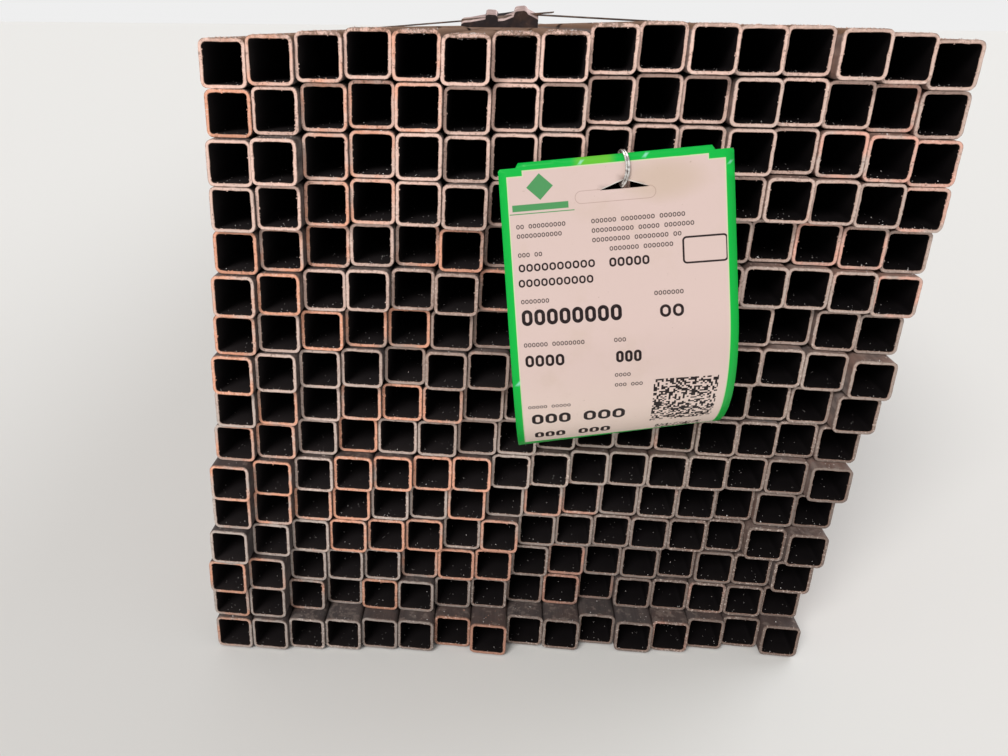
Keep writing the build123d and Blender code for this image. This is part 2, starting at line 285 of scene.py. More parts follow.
class Look:
    """A material, and the ways to add nodes to it."""

    def __init__(self, name, metallic=0.0, roughness=0.5, specular=0.5):
        self.material = bpy.data.materials.new(name)
        self.material.use_nodes = True
        self.tree = self.material.node_tree
        self.shader = self.tree.nodes["Principled BSDF"]
        self.set("Metallic", metallic)
        self.set("Roughness", roughness)
        self.set("Specular IOR Level", specular)

    def feed(self, socket, value):
        if isinstance(value, Signal):
            self.tree.links.new(value.socket, socket)
        else:
            socket.default_value = value

    def set(self, name, value):
        self.feed(self.shader.inputs[name], value)

    def add(self, kind, settings, inputs, output=0):
        """Adds a node, sets its settings, then fills its sockets, and gives one of its outputs."""
        node = self.tree.nodes.new(kind)
        for name, value in settings.items():
            if name == "stops":
                self.set_stops(node.color_ramp, value)
            else:
                setattr(node, name, value)
        for name, value in inputs.items():
            self.feed(node.inputs[name], value)
        return Signal(self, node.outputs[output])

    def set_stops(self, ramp, stops):
        while len(ramp.elements) < len(stops):
            ramp.elements.new(0.5)
        for element, (place, colour) in zip(ramp.elements, stops):
            element.position = place
            element.color = (*colour, 1.0)

    def sum(self, operation, *values):
        return self.add("ShaderNodeMath", {"operation": operation}, dict(enumerate(values)))

    def place(self):
        """Object coordinates, in metres in the frame of the bundle."""
        return self.add("ShaderNodeTexCoord", {}, {}, "Object")

    def axes(self, vector):
        node = self.tree.nodes.new("ShaderNodeSeparateXYZ")
        self.feed(node.inputs[0], vector)
        return [Signal(self, socket) for socket in node.outputs]

    def scaled(self, vector, scale):
        return self.add("ShaderNodeMapping", {}, {"Vector": vector, "Scale": scale})

    def joined(self, x, y, z=0.0):
        return self.add("ShaderNodeCombineXYZ", {}, {"X": x, "Y": y, "Z": z})

    def noise(self, vector, scale, detail=3.0, roughness=0.55):
        inputs = {"Vector": vector, "Scale": scale, "Detail": detail, "Roughness": roughness}
        return self.add("ShaderNodeTexNoise", {}, inputs, "Fac")

    def random(self, vector):
        return self.add("ShaderNodeTexWhiteNoise", {"noise_dimensions": "3D"}, {"Vector": vector})

    def step(self, value, low, high):
        """A smooth rise from 0 at low to 1 at high."""
        inputs = {"Value": value, "From Min": low, "From Max": high}
        return self.add("ShaderNodeMapRange", {"interpolation_type": "SMOOTHSTEP"}, inputs)

    def mix(self, factor, first, second, blend="MIX"):
        settings = {"data_type": "RGBA", "blend_type": blend}
        inputs = {0: factor, 6: colour(first), 7: colour(second)}
        return self.add("ShaderNodeMix", settings, inputs, 2)

    def ramp(self, value, stops):
        return self.add("ShaderNodeValToRGB", {"stops": stops}, {"Fac": value})

    def attribute(self, name):
        return self.add("ShaderNodeAttribute", {"attribute_name": name}, {}, "Fac")

    def bump(self, height, strength, distance):
        inputs = {"Height": height, "Strength": strength, "Distance": distance}
        self.set("Normal", self.add("ShaderNodeBump", {}, inputs))


def colour(value):
    """A colour with its alpha, or a signal as it is."""
    return value if isinstance(value, Signal) else (*value, 1.0)


def finish_mesh(mesh, name, materials, smooth_angle=None):
    """Turns a bmesh into an object at the origin."""
    data = bpy.data.meshes.new(name)
    mesh.to_mesh(data)
    mesh.free()
    for look in materials:
        data.materials.append(look.material)
    if smooth_angle is not None:
        data.shade_smooth()
        data.set_sharp_from_angle(angle=math.radians(smooth_angle))
    thing = bpy.data.objects.new(name, data)
    bpy.context.scene.collection.objects.link(thing)
    return thing


def stand_in(piece, node_name):
    """Puts a finished piece in the place of a node of the frame."""
    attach(piece, "root")
    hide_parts(node_name)


# Finishes

RIM_LIT_PINK = (0.88, 0.61, 0.52)
RIM_GREY = (0.55, 0.475, 0.43)
RIM_SHADED_TAUPE = (0.34, 0.25, 0.21)
RIM_ORANGE = (0.86, 0.40, 0.25)
RIM_SALMON = (0.86, 0.45, 0.35)
RIM_PALE_HIGHLIGHT = (0.92, 0.77, 0.69)
RIM_DARK = (0.12, 0.066, 0.050)
RIM_INNER = (0.38, 0.20, 0.135)
RIM_LOW_SHADE = (0.53, 0.54, 0.55)
RIM_GRIME = (0.15, 0.088, 0.060)
STEEL_BROWN = (0.33, 0.175, 0.128)
STEEL_DUST = (0.24, 0.125, 0.068)
STEEL_SHADE = (0.045, 0.037, 0.038)
STEEL_SCUFF = (0.34, 0.28, 0.25)
STEEL_STREAKS = (
    (0.25, (0.085, 0.074, 0.072)),
    (0.5, (0.18, 0.155, 0.148)),
    (0.72, (0.31, 0.265, 0.245)),
)

# The painted shade on the rims beside the card is round this x and z. The shade and the thicker dust
# of the walls are gone at the first of two distances from the tube's end, and full at the second.
CARD_SHADE_MIDDLE = (-35.0 * MM, 190.0 * MM)
SHADED_END = (34.0 * MM, 12.0 * MM)
DUSTY_END = (700.0 * MM, 150.0 * MM)


def tube_steel():
    """Bare mill steel with dust, a film of rust and painted shade. The sawn rims are paler and pinker,
    with painted light and shade, and orange partly from rust and partly from painted warm light.
    """
    look = Look("tube_steel", specular=0.15)
    place = look.place()
    x, _, z = look.axes(place)
    tint = look.attribute("tint")
    rust = look.attribute("rust")
    cut = look.attribute("cut")
    across = look.attribute("across")
    inside = look.attribute("depth")
    dust = look.attribute("dust")
    grain = look.noise(place, 900.0, 4.0, 0.65)
    mottle = look.noise(place, 260.0, 3.0, 0.6)
    patch = look.noise(place, 75.0, 2.0, 0.5)
    drift = look.noise(place, 6.0, 2.0, 0.5)
    streaks = look.noise(look.scaled(place, (1.0, 0.012, 1.0)), 260.0, 4.0, 0.6)

    # The sawn rims: pinker and brighter up and to the left with painted light, taupe and darker down
    # and to the right with painted shade, orange here and there, partly with rust and partly with
    # painted warm light.
    # Painted light: pinker and brighter up and to the left.
    lit_pink = look.step(z * 2.6 - x * 0.7 + patch * 0.5 + tint * 0.15, 0.55, 1.35)
    # Painted shade: taupe and darker down and to the right.
    shaded_taupe = look.step(x * 3.0 - z * 2.3 + patch * 0.4 + tint * 0.15, -0.25, 0.65)
    beside = abs(x - CARD_SHADE_MIDDLE[0])
    # Painted shade on the rims beside the card.
    card_shade = look.step(beside + abs(z - CARD_SHADE_MIDDLE[1]) * 0.7, 0.085, 0.03)
    sawn = look.mix(lit_pink, RIM_GREY, RIM_LIT_PINK)
    sawn = look.mix((shaded_taupe * 0.85).largest(card_shade * 0.7), sawn, RIM_SHADED_TAUPE)
    # Orange on the rims: partly rust, partly painted warm light.
    rust_and_warm_light = look.step(rust * 1.1 + patch * 1.5 + mottle * 0.5, 1.35, 1.95)
    rust_and_light_colour = look.mix(look.step(x, -0.10, 0.10), RIM_ORANGE, RIM_SALMON)
    sawn = look.mix(rust_and_warm_light * 0.85, sawn, rust_and_light_colour)
    # Painted shade: the rims darken low down, most of all to the right.
    low = look.step(z - x * 0.45, 0.13, 0.02).largest(look.step(z, 0.08, 0.03) * 0.6)
    sawn = look.mix(low, sawn, RIM_LOW_SHADE, "MULTIPLY")
    outer_edge = look.step(across, 0.30, 0.06) * look.step(mottle, 0.30, 0.60)
    sawn = look.mix(outer_edge * 0.7, sawn, RIM_DARK)
    sawn = look.mix(look.step(across, 0.74, 0.98) * 0.5, sawn, RIM_INNER)
    # Pale flecks along the sawn grain, partly painted highlight.
    sawn = look.mix(look.step(grain + tint * 0.08, 0.60, 0.74) * 0.5, sawn, RIM_PALE_HIGHLIGHT)
    sawn = look.mix(look.step(grain, 0.45, 0.32) * 0.6, sawn, RIM_DARK)
    by_seal = 0.35 + look.step(beside, 0.11, 0.06) * 0.45
    grimy = dust * look.step(grain + mottle * 0.6, 0.68, 0.92) * by_seal
    sawn = look.mix(grimy, sawn, RIM_GRIME)

    # The walls: streaked along the tube, browner in patches, shaded low down and dusty on top.
    steel = look.ramp(streaks, STEEL_STREAKS)
    brown = look.step(drift + patch * 0.5 + mottle * 0.3 + rust * 0.15 + x * 0.5, 0.78, 1.20)
    steel = look.mix(brown * 0.65, steel, STEEL_BROWN)
    shaded = look.step(x + z * 0.8, 0.26, 0.02).largest(look.step(z, 0.14, 0.03))
    shaded = shaded * look.step(inside, *SHADED_END)
    steel = look.mix(shaded * 0.75, steel, STEEL_SHADE)
    steel = look.mix(look.step(mottle + tint * 0.15, 0.60, 0.78) * 0.35, steel, STEEL_SCUFF)
    near_end = look.step(inside, *DUSTY_END)
    settled = dust * look.step(patch + mottle * 0.5 + near_end * 0.25 + drift * 0.3, 0.62, 1.05)
    dusty = look.mix(look.step(grain, 0.35, 0.65), RIM_GRIME, STEEL_DUST)
    steel = look.mix(settled * 0.92, steel, dusty)
    look.set("Base Color", look.mix(cut, steel, sawn))
    look.set("Metallic", 0.12 - dust * 0.12)
    look.set("Roughness", 0.72 - look.step(streaks, 0.45, 0.75) * 0.22 + cut * 0.1 + dust * 0.25)
    look.bump(grain + mottle * 0.6, 0.5, 0.25 * MM)
    return look


# The bores' scale is painted near-black, as the shade inside the tubes.
BORE_PAINTED_SHADE = (0.024, 0.0205, 0.0215)
BORE_MOUTH_SHADE = (0.029, 0.024, 0.024)
BORE_SHADE = (0.40, 0.40, 0.41)
BORE_LIP = (0.12, 0.075, 0.06)
LIP_DEPTH = 1.5 * MM
MOUTH_DEPTH = 9.0 * MM


def shaded_bore_scale():
    """The walls of the bores: scale painted near-black as shade, a little browner at the mouth, with
    more painted shade low down and to the right.
    """
    look = Look("shaded_bore_scale", roughness=1.0, specular=0.0)
    place = look.place()
    inside = look.attribute("depth")
    grain = look.noise(place, 700.0, 3.0, 0.6)
    lip = look.step(grain * MM + inside, LIP_DEPTH, 0.0)
    mouth = look.step(inside, MOUTH_DEPTH, 0.0)
    x, _, z = look.axes(place)
    scale = look.mix(mouth, BORE_PAINTED_SHADE, BORE_MOUTH_SHADE)
    shaded = look.step(z - x * 0.5, 0.16, -0.02).largest(look.step(x, -0.02, 0.12))
    scale = look.mix(shaded, scale, BORE_SHADE, "MULTIPLY")
    look.set("Base Color", look.mix(lip * 0.4, scale, BORE_LIP))
    return look


CHIP_DARK = (0.36, 0.31, 0.29)
CHIP_PALE = (0.95, 0.92, 0.91)


def bright_chip():
    """Fresh chips of steel."""
    look = Look("bright_chip", metallic=0.2, roughness=0.4)
    tone = look.random(look.scaled(look.place(), (300.0, 300.0, 300.0)))
    look.set("Base Color", look.mix(tone, CHIP_DARK, CHIP_PALE))
    return look


# For a strap, its seal, which is dark with painted shade, and the painted sheen on the seal's upward
# faces: scuffed, unscuffed, how rusty and how dusty.
STRAP_TONES = ((0.27, 0.20, 0.165), (0.080, 0.058, 0.048), 0.7, 0.4)
SEAL_SHADE_TONES = ((0.045, 0.031, 0.032), (0.018, 0.012, 0.013), 0.15, 0.10)
SHEEN_TONES = ((0.80, 0.64, 0.61), (0.42, 0.30, 0.285), 0.05, 0.15)
STRAP_RUST = (0.21, 0.095, 0.05)
STRAP_DUST = (0.32, 0.24, 0.20)


def strap_steel(name, light, dark, rust, dusty):
    """Waxed strapping, scuffed and dusty."""
    look = Look(name, metallic=0.55)
    place = look.place()
    scuffs = look.noise(look.scaled(place, (1.0, 6.0, 1.0)), 90.0, 5.0, 0.65)
    dust = look.noise(place, 320.0, 3.0, 0.6)
    rusty = look.noise(place, 35.0, 3.0, 0.6)
    steel = look.mix(look.step(scuffs, 0.46, 0.70), dark, light)
    steel = look.mix(look.step(rusty + dust * 0.3, 0.66, 0.86) * rust, steel, STRAP_RUST)
    steel = look.mix(look.step(dust, 0.58, 0.75) * dusty, steel, STRAP_DUST)
    look.set("Base Color", steel)
    look.set("Roughness", 0.34 + dust * 0.22)
    look.bump(dust + scuffs * 0.5, 0.25, 0.2 * MM)
    return look


WIRE_DARK = (0.34, 0.31, 0.295)
WIRE_BRIGHT = (0.82, 0.80, 0.77)


def tie_wire_steel():
    """Bright drawn wire."""
    look = Look("tie_wire", metallic=0.85, roughness=0.22)
    grain = look.noise(look.place(), 500.0, 3.0, 0.6)
    look.set("Base Color", look.mix(look.step(grain, 0.35, 0.65), WIRE_DARK, WIRE_BRIGHT))
    return look


CARD_TOP = (0.665, 0.520, 0.485)
CARD_FOOT_LIT = (0.90, 0.735, 0.65)
CARD_SMUDGE = (0.54, 0.42, 0.31)
CARD_SPECK = (0.35, 0.26, 0.20)
CARD_GREEN = (0.003, 0.455, 0.056)
CARD_OLIVE = (0.15, 0.52, 0.030)
CARD_EDGE = (0.60, 0.68, 0.43)
CARD_TORN = (0.84, 0.81, 0.76)
CARD_GLINT = (0.42, 0.88, 0.78)
CARD_INK = (0.012, 0.006, 0.007)
CARD_SCORE = (0.26, 0.14, 0.11)
EMBLEM_GREEN = (0.012, 0.27, 0.065)
CORE_DARK = (0.70, 0.60, 0.54)
CORE_PALE = (0.88, 0.80, 0.74)

# In millimetres: how far down the paper turns from the top's tone to the foot's, which is lighter as
# painted light on the curl, the middle of the border's olive stretch, the border's width at the sides
# and the foot, and how soft the print is.
FOOT_LIGHT = (80.0, 140.0)
OLIVE_ASIDE = -8.0
CARD_BORDER = 3.3
FOOT_BORDER = 11.0
BORDER_BLUR = 0.12
INK_BLUR = 0.13

# What is printed on the card, in millimetres to the right of its middle and down from its top
# edge. Rows of plain noughts stand for all the figures. The small rows keep to a grid: the column
# of the first nought, how many there are in each group, and the row's middle.
SMALL_ROWS = (
    (-24, (2, 9), 26.9),
    (-24, (11,), 30.9),
    (-6, (6, 8, 6), 26.9),
    (-6, (10, 5, 7), 30.9),
    (-6, (9, 8, 2), 34.9),
    (-2, (7, 7), 39.0),
    (-24, (3, 2), 39.0),
    (-24, (7,), 59.2),
    (8, (7,), 59.2),
    (-24, (6, 8), 78.3),
    (-2, (3,), 78.3),
    (-2, (4,), 94.9),
    (-2, (3, 3), 100.2),
    (-24, (5, 5), 110.2),
)
SMALL_MIDDLES = sorted({middle for _, _, middle in SMALL_ROWS})
SMALL_HEIGHT = 1.9
SMALL_PITCH = 1.75
SMALL_STROKE = 0.40
SMALL_WIDTH = SMALL_PITCH * 0.84

# Large rows: left, right, middle, height, how many.
NOUGHT_ROWS = (
    (-4.0, 13.0, 44.8, 3.9, 5),
    (-42.2, -9.5, 44.6, 3.4, 10),
    (-42.6, -10.5, 51.2, 3.4, 10),
    (-42.4, 0.8, 66.3, 7.0, 8),
    (15.8, 26.4, 67.0, 5.4, 2),
    (-42.0, -24.5, 85.7, 5.4, 4),
    (-3.0, 8.3, 86.0, 5.4, 3),
    (-41.0, -22.5, 119.0, 7.6, 3),
    (-17.5, 2.0, 119.0, 7.6, 3),
    (-40.0, -25.0, 134.5, 7.0, 3),
    (-19.5, -4.0, 134.5, 7.0, 3),
)

# A large nought's stroke in shares of its height, and its width in shares of its room, which is no
# more than the last of its height.
NOUGHT_STROKE = 0.22
NOUGHT_SHARE = 0.86
NOUGHT_WIDEST = 0.84

STAMP_BOX = (26.3, 44.6, 36.3, 47.8)
STAMP_ROUND = 1.8
STAMP_LINE = 0.8
SCORE_MIDDLE = (0.0, 16.6)
SCORE_HALF = (13.9, 2.7)
SCORE_LINE = 0.20
EMBLEM_MIDDLE = (-31.0, 10.6)
EMBLEM_REACH = 5.6
EMBLEM_BARS = ((-43.0, -19.4, 17.6, 20.4), (-46.0, -17.0, 21.3, 21.7))
MOSAICS = ((13.4, 41.0, 98.5, 129.5), (17.0, 38.0, 136.0, 150.0))
MOSAIC_CELL = 0.88
SMUDGE_MIDDLE = (20.0, 12.0)
SMUDGE_REACH = 22.0
TORN_EDGE = 0.75
# Painted glints on the card's green border, across and down in millimetres.
GLINTS = ((13.0, 1.6), (-13.5, 2.2), (46.4, 7.5), (-45.0, 96.0))
GLINT_REACH = 1.7


def box_distance(aside, down, left, right, top, bottom):
    """How far a point of the card is outside a box, and below 0 inside it."""
    beside = abs(aside - (left + right) / 2) - (right - left) / 2
    above = abs(down - (top + bottom) / 2) - (bottom - top) / 2
    return beside.largest(above)


def loop_distance(aside, down, half_width, half_height, radius, line):
    """How far a point is from the line of a rounded box about the origin."""
    beside = (abs(aside) - (half_width - radius)).largest(0.0)
    above = (abs(down) - (half_height - radius)).largest(0.0)
    reach = (beside * beside + above * above).root()
    return abs(reach - (radius - line / 2)) - line / 2


def nought_row(aside, down, left, right, middle, height, count):
    """A row of plain noughts, narrower than they are high."""
    pitch = (right - left) / count
    within = abs(aside - (left + right) / 2) - (right - left) / 2
    from_middle = ((aside - left) / pitch).fraction() * pitch - pitch / 2
    half_width = min(pitch * NOUGHT_SHARE, height * NOUGHT_WIDEST) / 2
    stroke = height * NOUGHT_STROKE
    loop = loop_distance(from_middle, down - middle, half_width, height / 2, half_width, stroke)
    return loop.largest(within)


def joined_shapes(distances):
    """How far a point is from the nearest of some shapes."""
    nearest = distances[0]
    for distance in distances[1:]:
        nearest = nearest.smallest(distance)
    return nearest


def small_rows(aside, down):
    """Rows of small noughts in groups."""
    from_row = joined_shapes([abs(down - middle) for middle in SMALL_MIDDLES])
    from_middle = ((aside / SMALL_PITCH).fraction() - 0.5) * SMALL_PITCH
    half_width = SMALL_WIDTH / 2
    loop = loop_distance(from_middle, from_row, half_width, SMALL_HEIGHT / 2, half_width, SMALL_STROKE)
    groups = []
    for column, counts, middle in SMALL_ROWS:
        top = middle - SMALL_HEIGHT
        bottom = middle + SMALL_HEIGHT
        for count in counts:
            left = column * SMALL_PITCH
            right = left + count * SMALL_PITCH
            groups.append(box_distance(aside, down, left, right, top, bottom))
            column += count + 1
    return loop.largest(joined_shapes(groups))


def coated_card():
    """Printed card with a glossy coat."""
    look = Look("coated_card", roughness=0.3, specular=0.16)
    u, v, _ = look.axes(look.add("ShaderNodeUVMap", {"uv_map": "card"}, {}))
    half = CARD_WIDTH / MM / 2
    length = CARD_LENGTH / MM
    aside = (u - 0.5) * (half * 2)
    down = (1.0 - v) * length
    place = look.place()
    smudge = look.noise(place, 45.0, 4.0, 0.6)
    speck = look.noise(place, 800.0, 2.0, 0.5)

    def ink(distance):
        return look.step(distance, INK_BLUR, -INK_BLUR)

    # The foot of the card is painted lighter, as light on its curl.
    paper = look.mix(look.step(down, *FOOT_LIGHT), CARD_TOP, CARD_FOOT_LIT)
    soiled_x = (aside - SMUDGE_MIDDLE[0]) / SMUDGE_REACH
    soiled_y = (down - SMUDGE_MIDDLE[1]) / (SMUDGE_REACH / 2)
    soiled = look.step(soiled_x * soiled_x + soiled_y * soiled_y + smudge * 0.8, 1.4, 0.3)
    paper = look.mix(soiled * 0.55 + look.step(smudge, 0.5, 0.8) * 0.25, paper, CARD_SMUDGE)
    paper = look.mix(look.step(speck, 0.72, 0.80) * 0.5, paper, CARD_SPECK)

    score = loop_distance(
        aside - SCORE_MIDDLE[0], down - SCORE_MIDDLE[1],
        SCORE_HALF[0] + SCORE_HALF[1], SCORE_HALF[1], SCORE_HALF[1], SCORE_LINE,
    )
    paper = look.mix(ink(score) * 0.6, paper, CARD_SCORE)

    half_hole = HOLE_WIDTH / MM / 2
    from_peak = abs(aside - HOLE_ASIDE / MM)
    above_hole = (HOLE_DEPTH - HOLE_HEIGHT) / MM + from_peak * (HOLE_HEIGHT / MM / half_hole) - down
    torn = look.step(above_hole, TORN_EDGE, 0.0) * look.step(from_peak, half_hole, half_hole - 2.0)
    torn = torn * look.step(down, HOLE_DEPTH / MM, HOLE_DEPTH / MM - 0.3)
    paper = look.mix(torn * look.step(smudge, 0.35, 0.5), paper, CARD_TORN)

    small_print = ink(small_rows(aside, down)) * 0.9
    figures = joined_shapes([nought_row(aside, down, *row) for row in NOUGHT_ROWS])
    stamp_left, stamp_right, stamp_top, stamp_bottom = STAMP_BOX
    stamp = loop_distance(
        aside - (stamp_left + stamp_right) / 2, down - (stamp_top + stamp_bottom) / 2,
        (stamp_right - stamp_left) / 2, (stamp_bottom - stamp_top) / 2, STAMP_ROUND, STAMP_LINE,
    )
    cell = look.joined((aside / MOSAIC_CELL).floor(), (down / MOSAIC_CELL).floor())
    mosaic_room = joined_shapes([box_distance(aside, down, *box) for box in MOSAICS])
    mosaic = ink(mosaic_room) * (look.random(cell) > 0.5)
    black = small_print.largest(ink(figures.smallest(stamp))).largest(mosaic)
    paper = look.mix(black * (0.90 + speck * 0.2), paper, CARD_INK)

    lozenge = abs(aside - EMBLEM_MIDDLE[0]) + abs(down - EMBLEM_MIDDLE[1]) - EMBLEM_REACH
    emblem = joined_shapes([lozenge] + [box_distance(aside, down, *bar) for bar in EMBLEM_BARS])
    paper = look.mix(ink(emblem) * 0.9, paper, EMBLEM_GREEN)

    shoulder_side = (half - SHOULDER_TOP / MM - CARD_BORDER * 0.4) - abs(aside)
    shoulder = shoulder_side.largest(down - (SHOULDER_DROP / MM + CARD_BORDER))
    inside = (half - CARD_BORDER - abs(aside)).smallest(down - CARD_BORDER)
    inside = inside.smallest(length - FOOT_BORDER - down).smallest(shoulder)
    olive = look.step(abs(aside - OLIVE_ASIDE), 10.0, 5.0) * look.step(down, 8.0, 3.0)
    green = look.mix(olive * 0.8, CARD_GREEN, CARD_OLIVE)
    # Painted glints on the green border.
    glint = joined_shapes([
        abs(aside - right) * 0.7 + abs(down - low + (aside - right) * 0.6) for right, low in GLINTS
    ])
    green = look.mix(look.step(glint + smudge * 2.2, GLINT_REACH + 1.1, 1.2) * 0.6, green, CARD_GLINT)
    edged = look.mix(look.step(inside, -BORDER_BLUR, BORDER_BLUR), green, CARD_EDGE)
    whole = look.mix(look.step(inside, 2 * BORDER_BLUR, 5 * BORDER_BLUR), edged, paper)
    look.set("Base Color", whole)
    look.set("Roughness", 0.24 + smudge * 0.2)
    look.bump(smudge, 0.12, 0.4 * MM)
    return look


def card_core():
    """The card's cut edges and its unprinted back."""
    look = Look("card_core", roughness=0.7)
    fibre = look.noise(look.place(), 300.0, 3.0, 0.6)
    look.set("Base Color", look.mix(fibre, CORE_DARK, CORE_PALE))
    return look


# The tubes

def tubes_in(node):
    """The box of each tube in a packed layer, from left to right."""
    merged = bmesh.new()
    merged.from_mesh(node.data)
    bmesh.ops.remove_doubles(merged, verts=merged.verts, dist=SAME_PLACE)
    unseen = set(merged.verts)
    boxes = []
    while unseen:
        island = [unseen.pop()]
        for vert in island:
            for edge in vert.link_edges:
                other = edge.other_vert(vert)
                if other in unseen:
                    unseen.remove(other)
                    island.append(other)
        places = [vert.co.copy() for vert in island]
        low = Vector(min(place[axis] for place in places) for axis in range(3))
        high = Vector(max(place[axis] for place in places) for axis in range(3))
        boxes.append((low, high))
    merged.free()
    return sorted(boxes, key=lambda box: box[0].x)


def wall_depth(x, z, side):
    """How deep a point of the tube's section is in its wall: 0 on the outside, 1 on the inside."""
    corner = side / 2 - TUBE_CORNER
    past_x = max(abs(x) - corner, 0)
    past_z = max(abs(z) - corner, 0)
    return (TUBE_CORNER - math.hypot(past_x, past_z)) / TUBE_WALL


# A tube has a row of the bake's map: a square for each sawn end, a narrow strip for all its grains,
# then its walls, drawn in along their length, with the outside below and the bore above.
BAKE_ROWS = 16
BAKE_MARGIN = 0.03
BAKE_GRAINS = (0.1275, 0.1300)
BAKE_GRAIN_LOW = 0.2
BAKE_GRAIN_HIGH = 0.2
BAKE_GRAIN_STEP = 0.15
BAKE_WALLS = (0.135, 0.997)


def end_place(point, side):
    """A point of a sawn end in its tube's row."""
    square = 1 if point.y > 0 else 0
    across = BAKE_MARGIN + (1 - 2 * BAKE_MARGIN) * (point.x / side + 0.5)
    up = BAKE_MARGIN + (1 - 2 * BAKE_MARGIN) * (point.z / side + 0.5)
    return (square + across) / BAKE_ROWS, up


def wall_place(point, middle_turn, in_bore, length):
    """A point of a wall in its tube's row. The turn round the tube runs up the row."""
    turn = math.atan2(point.z, point.x) / math.tau + 0.5
    turn -= round(turn - middle_turn)
    start, stop = BAKE_WALLS
    along = start + (stop - start) * (point.y / length + 0.5)
    up = BAKE_MARGIN + (0.5 - 2 * BAKE_MARGIN) * turn + (0.5 if in_bore else 0.0)
    return along, up


# What each vertex of a tube carries for its finish.
TUBE_VALUES = ("cut", "depth", "across", "tint", "rust", "dust")


def settle(mesh):
    """Makes the faces again in the order of their places, each from its lowest vertex. Cuts leave
    them in another order in each run, and a bent face creases from its first corner."""
    in_order = sorted(mesh.verts, key=lambda vert: [round(way / SAME_PLACE) for way in vert.co])
    ranks = {vert: rank for rank, vert in enumerate(in_order)}
    mesh.verts.sort(key=ranks.get)
    mesh.verts.index_update()
    rings = []
    for face in mesh.faces:
        ring = list(face.verts)
        first = ring.index(min(ring, key=lambda vert: vert.index))
        rings.append(ring[first:] + ring[:first])
    bmesh.ops.delete(mesh, geom=mesh.edges[:] + mesh.faces[:], context="EDGES_FACES")
    for ring in sorted(rings, key=lambda ring: [vert.index for vert in ring]):
        mesh.faces.new(ring)
    mesh.normal_update()


def make_tube(side, length):
    """One straight tube about the origin, along Y, with a mesh that can be roughened at the ends."""
    tube = bmesh.new()
    turned = Matrix.Rotation(math.radians(45), 4, "Z")
    bmesh.ops.create_circle(tube, cap_ends=True, segments=4, radius=side / math.sqrt(2), matrix=turned)
    bmesh.ops.bevel(
        tube, geom=tube.verts[:], offset=TUBE_CORNER, segments=CORNER_FACETS,
        affect="VERTICES", profile=0.5, material=-1,
    )
    flats = [edge for edge in tube.edges if edge.calc_length() > side / 2]
    bmesh.ops.subdivide_edges(tube, edges=flats, cuts=SIDE_CUTS)
    section = tube.faces[:]
    bmesh.ops.inset_region(
        tube, faces=section, thickness=TUBE_WALL, use_even_offset=True, use_boundary=True,
    )
    bmesh.ops.delete(tube, geom=section, context="FACES")
    made = bmesh.ops.extrude_face_region(tube, geom=tube.faces[:])
    moved = [item for item in made["geom"] if isinstance(item, bmesh.types.BMVert)]
    bmesh.ops.translate(tube, verts=moved, vec=(0, 0, length))
    bmesh.ops.translate(tube, verts=tube.verts[:], vec=(0, 0, -length / 2))
    bmesh.ops.rotate(tube, verts=tube.verts[:], matrix=Matrix.Rotation(math.radians(90), 3, "X"))
    bmesh.ops.recalc_face_normals(tube, faces=tube.faces[:])
    rim_edges = [
        edge for edge in tube.edges
        if abs(edge.verts[0].co.y - edge.verts[1].co.y) < MM
        and len({abs(face.normal.y) > 0.5 for face in edge.link_faces}) == 2
    ]
    bmesh.ops.bevel(
        tube, geom=rim_edges, offset=RIM_CHAMFER, segments=1, affect="EDGES", profile=0.5, material=-1,
    )
    for end in (-1, 1):
        for depth in (RIM_DEPTH, CHIP_REACH):
            everything = tube.verts[:] + tube.edges[:] + tube.faces[:]
            behind_rim = (0, end * (length / 2 - depth), 0)
            bmesh.ops.bisect_plane(tube, geom=everything, plane_co=behind_rim, plane_no=(0, 1, 0))
    settle(tube)
    layers = {name: tube.verts.layers.float.new(name) for name in TUBE_VALUES}
    for vert in tube.verts:
        from_end = length / 2 - abs(vert.co.y)
        vert[layers["cut"]] = 1.0 if from_end < RIM_DEPTH / 2 else 0.0
        vert[layers["depth"]] = from_end
        vert[layers["across"]] = wall_depth(vert.co.x, vert.co.z, side)
    bake = tube.loops.layers.uv.new("OFBake")
    inner = side / 2 - TUBE_WALL * 0.6
    for face in tube.faces:
        centre = face.calc_center_median()
        at_end = abs(face.normal.y) > 0.5
        in_bore = max(abs(centre.x), abs(centre.z)) < inner and not at_end
        face.material_index = SHADED_BORE if in_bore else STEEL
        middle_turn = math.atan2(centre.z, centre.x) / math.tau + 0.5
        for loop in face.loops:
            point = loop.vert.co
            if at_end:
                loop[bake].uv = end_place(point, side)
            else:
                loop[bake].uv = wall_place(point, middle_turn, in_bore, length)
    data = bpy.data.meshes.new("tube")
    tube.to_mesh(data)
    tube.free()
    return data


def roughen(verts, side, length, seed):
    """Moves a tube's vertices near its ends by noise, more on the inner edge than the outer."""
    inner = side / 2 - TUBE_WALL / 2
    for vert in verts:
        if length / 2 - abs(vert.co.y) > RIM_DEPTH / 2:
            continue
        ragged = INNER_RAGGED if max(abs(vert.co.x), abs(vert.co.z)) < inner else OUTER_RAGGED
        push = noise.noise_vector(vert.co * RAGGED_SCALE + seed)
        vert.co += Vector((push.x * ragged, push.y * SAW_RAGGED, push.z * ragged))


